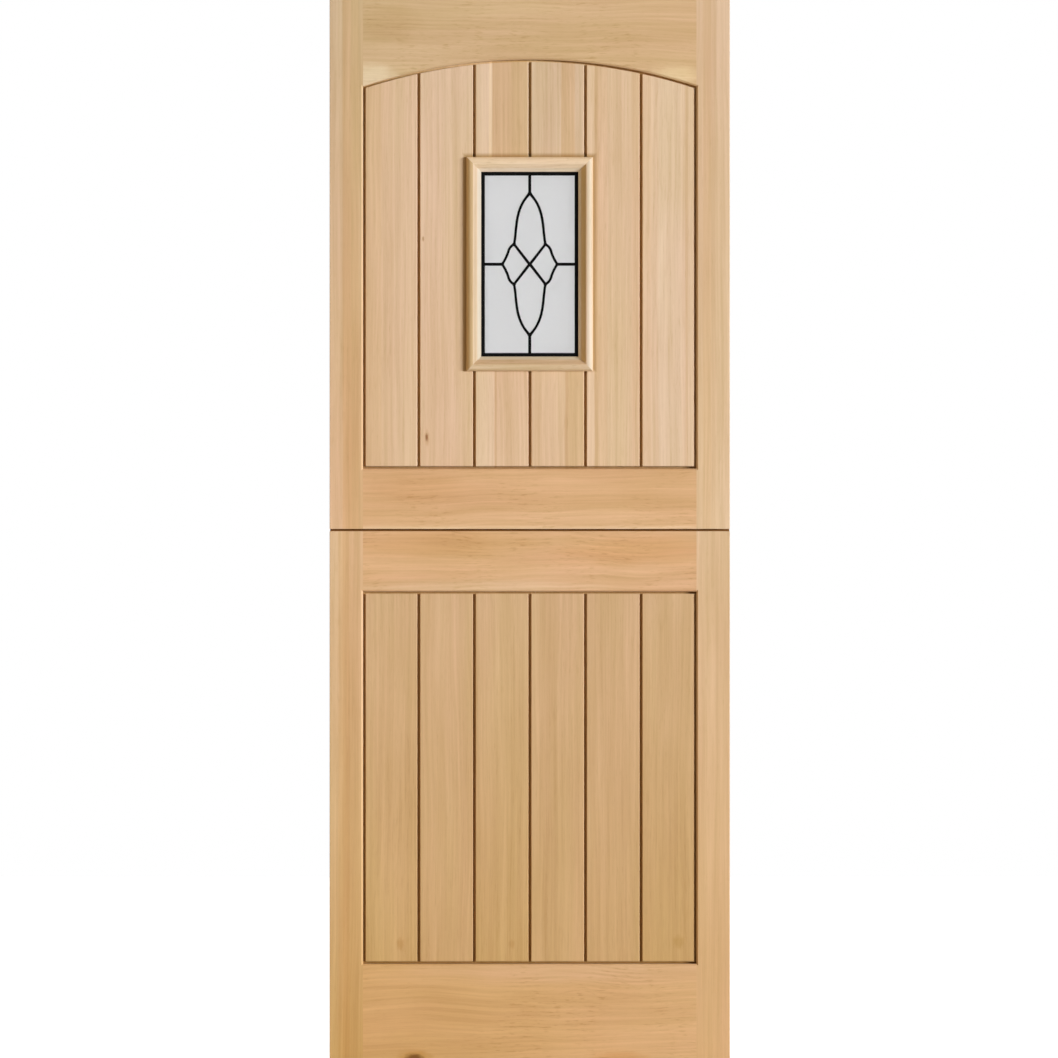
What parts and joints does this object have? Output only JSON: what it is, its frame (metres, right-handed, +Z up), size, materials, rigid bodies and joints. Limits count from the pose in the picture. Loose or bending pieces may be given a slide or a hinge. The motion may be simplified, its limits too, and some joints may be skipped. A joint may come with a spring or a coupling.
{
  "type": "stable door",
  "caption": "Oak stable door whose upper and lower leaves swing separately, with vertical boards, an arched top rail and a small leaded light, on a plain frame.",
  "frame": {"origin": "middle of the sill's underside", "axes": "+X to the right seen from the front, +Y away from the viewer through the doorway, +Z up"},
  "size_m": [0.762, 0.124, 2.038],
  "materials": {
    "stile_oak": "oiled oak, upright grain",
    "rail_oak": "oiled oak, grain across",
    "board_oak": "oiled oak boards, upright grain",
    "moulding_oak": "oiled oak moulding",
    "frame_oak": "oiled oak frame",
    "dowel_beech": "plain beech",
    "obscure_glass": "pale obscured glass",
    "spacer_aluminium": "mill aluminium",
    "black_lead": "matt black lead",
    "seal_rubber": "matt black rubber",
    "setting_plastic": "hard plastic",
    "hinge_steel": "brushed stainless steel",
    "screw_steel": "bright steel"
  },
  "bodies": {
    "frame": {"closing_jamb": "frame_oak", "frame_head": "frame_oak", "frame_hinge_screws": "screw_steel", "frame_seal": "seal_rubber", "frame_sill": "frame_oak", "hinge_jamb": "frame_oak", "hinge_pins": "hinge_steel", "lower_leaf_bottom_hinge_frame_plate": "hinge_steel", "lower_leaf_top_hinge_frame_plate": "hinge_steel", "upper_leaf_bottom_hinge_frame_plate": "hinge_steel", "upper_leaf_top_hinge_frame_plate": "hinge_steel"},
    "upper_leaf": {"arched_top_rail": "rail_oak", "glazing_bead_bottom": "moulding_oak", "glazing_bead_left": "moulding_oak", "glazing_bead_right": "moulding_oak", "glazing_bead_top": "moulding_oak", "glazing_gaskets": "seal_rubber", "glazing_moulding_bottom": "moulding_oak", "glazing_moulding_left": "moulding_oak", "glazing_moulding_right": "moulding_oak", "glazing_moulding_top": "moulding_oak", "inner_pane": "obscure_glass", "lead_came": "black_lead", "outer_pane": "obscure_glass", "pane_spacer": "spacer_aluminium", "setting_blocks": "setting_plastic", "upper_board_1": "board_oak", "upper_board_2": "board_oak", "upper_board_3_above_light": "board_oak", "upper_board_3_below_light": "board_oak", "upper_board_4_above_light": "board_oak", "upper_board_4_below_light": "board_oak", "upper_board_5": "board_oak", "upper_board_6": "board_oak", "upper_closing_stile": "stile_oak", "upper_hinge_stile": "stile_oak", "upper_leaf_bottom_hinge_leaf_plate": "hinge_steel", "upper_leaf_dowels": "dowel_beech", "upper_leaf_hinge_screws": "screw_steel", "upper_leaf_top_hinge_leaf_plate": "hinge_steel", "upper_meeting_rail": "rail_oak"},
    "lower_leaf": {"bottom_rail": "rail_oak", "lower_board_1": "board_oak", "lower_board_2": "board_oak", "lower_board_3": "board_oak", "lower_board_4": "board_oak", "lower_board_5": "board_oak", "lower_board_6": "board_oak", "lower_closing_stile": "stile_oak", "lower_hinge_stile": "stile_oak", "lower_leaf_bottom_hinge_leaf_plate": "hinge_steel", "lower_leaf_dowels": "dowel_beech", "lower_leaf_hinge_screws": "screw_steel", "lower_leaf_top_hinge_leaf_plate": "hinge_steel", "lower_meeting_rail": "rail_oak", "meeting_seal": "seal_rubber"}
  },
  "joints": [
    {"name": "upper_leaf_swing", "type": "hinge", "parent": "frame", "child": "upper_leaf", "pos_m": [-0.375, -0.0365, 1.53], "axis": [0, 0, -1], "range_deg": [0, 110]},
    {"name": "lower_leaf_swing", "type": "hinge", "parent": "frame", "child": "lower_leaf", "pos_m": [-0.375, -0.0365, 0.512], "axis": [0, 0, -1], "range_deg": [0, 110]}
  ]
}
